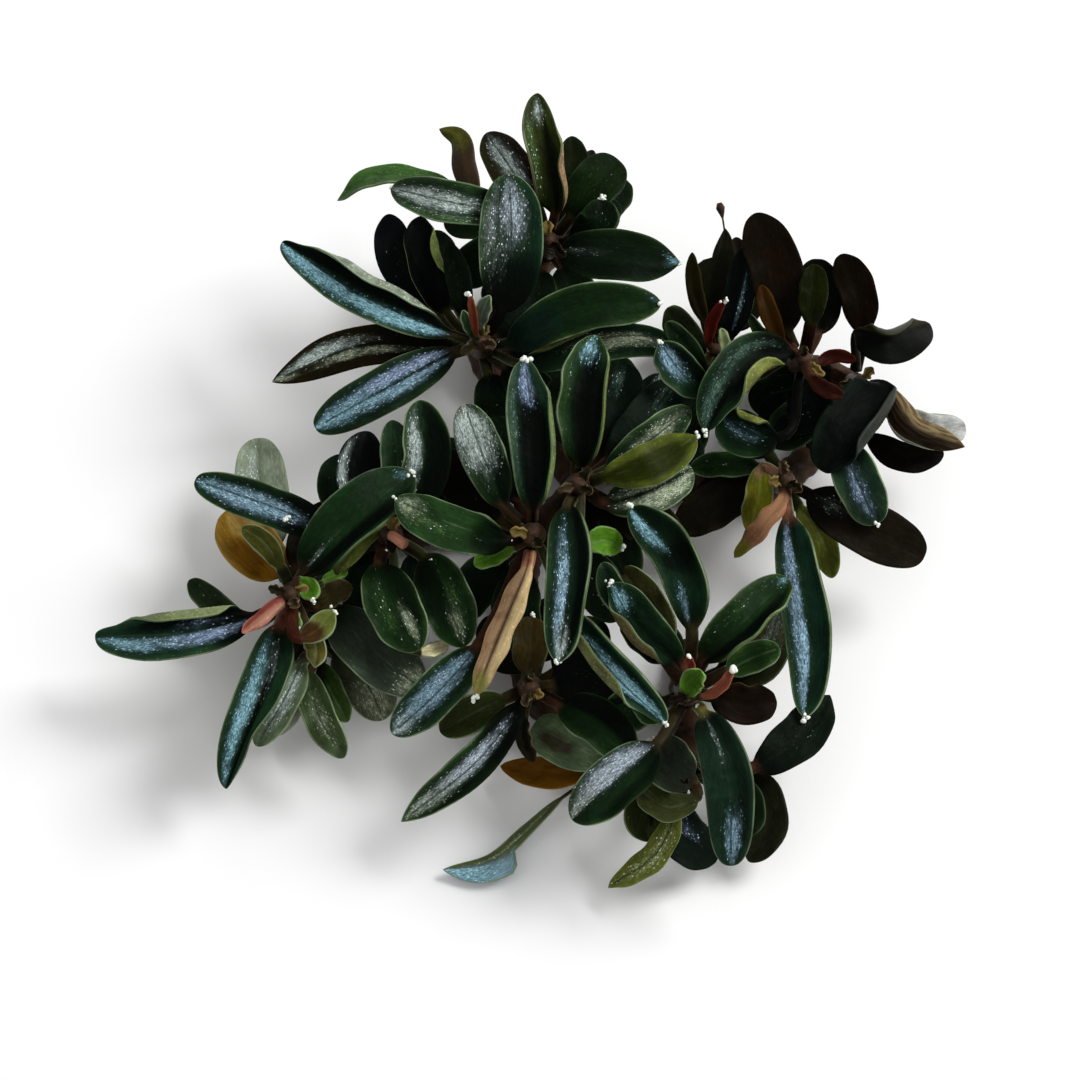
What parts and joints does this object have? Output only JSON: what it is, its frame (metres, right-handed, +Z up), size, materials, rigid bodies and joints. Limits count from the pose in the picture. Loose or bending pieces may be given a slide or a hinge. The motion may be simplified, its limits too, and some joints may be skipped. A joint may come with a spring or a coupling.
{
  "type": "bucephalandra",
  "caption": "Clump of a small-leaved bucephalandra: creeping rhizomes with short upright shoots and glossy oblong leaves in dark green, olive, brown and blue sheen, resting on a surface.",
  "frame": {"origin": "middle of the clump's outline on the surface that it rests on", "axes": "+Z up from the surface, +X to the right across the clump, +Y away from the viewer to its back"},
  "size_m": [0.0879, 0.0815, 0.0277],
  "materials": {
    "leaf_blue": "glossy",
    "leaf_blue_olive_edge": "glossy",
    "leaf_bronze": "satin",
    "leaf_brown": "satin",
    "leaf_dark": "glossy",
    "leaf_green": "glossy",
    "leaf_grey_edge": "glossy",
    "leaf_grey_green": "satin",
    "leaf_maroon": "satin",
    "leaf_old_orange": "matt",
    "leaf_olive_edge": "glossy",
    "leaf_olive_wet": "glossy",
    "leaf_ribbed": "matt",
    "leaf_silver": "satin",
    "leaf_sparkle": "glossy",
    "leaf_tan": "satin",
    "leaf_torn": "satin",
    "leaf_violet": "glossy",
    "rhizome": "matt"
  },
  "bodies": {
    "root": {"centre_down_left": "leaf_blue", "centre_down_right": "leaf_blue_olive_edge", "centre_left": "leaf_green", "centre_rolled": "leaf_tan", "centre_silver": "leaf_silver", "centre_up": "leaf_blue_olive_edge", "east_long": "leaf_blue", "east_right": "leaf_maroon", "middle_down": "leaf_blue", "middle_olive": "leaf_olive_wet", "middle_silver": "leaf_silver", "middle_up": "leaf_green", "ne_black": "leaf_dark", "ne_curved": "leaf_olive_edge", "ne_curved_low": "leaf_olive_edge", "ne_down": "leaf_grey_edge", "ne_far_right": "leaf_olive_edge", "ne_low_blue": "leaf_violet", "ne_ribbed": "leaf_ribbed", "ne_right_back": "leaf_maroon", "ne_tall": "leaf_maroon", "north_droop": "leaf_green", "north_left": "leaf_silver", "north_left_back": "leaf_sparkle", "north_right": "leaf_dark", "north_right_back": "leaf_green", "north_tall": "leaf_brown", "nw_down_left": "leaf_violet", "nw_far_right": "leaf_olive_edge", "nw_left": "leaf_blue_olive_edge", "nw_low_left": "leaf_bronze", "nw_right": "leaf_green", "nw_standing": "leaf_dark", "nw_up": "leaf_silver", "rhizome_centre": "rhizome", "rhizome_east": "rhizome", "rhizome_north": "rhizome", "rhizome_northeast": "rhizome", "rhizome_south": "rhizome", "rhizome_southeast": "rhizome", "rhizome_west": "rhizome", "se_down": "leaf_green", "se_down_left": "leaf_silver", "se_far_right": "leaf_dark", "se_torn": "leaf_torn", "se_up": "leaf_blue", "se_up_left": "leaf_olive_edge", "se_up_right": "leaf_green", "south_down_left": "leaf_silver", "south_right": "leaf_green", "west_down": "leaf_blue", "west_left": "leaf_blue_olive_edge", "west_old": "leaf_old_orange", "west_right": "leaf_dark", "west_round": "leaf_grey_green", "west_up": "leaf_green", "wm_back_right": "leaf_silver", "wm_down": "leaf_green", "wm_down_right": "leaf_green", "wm_left": "leaf_blue"}
  },
  "joints": []
}
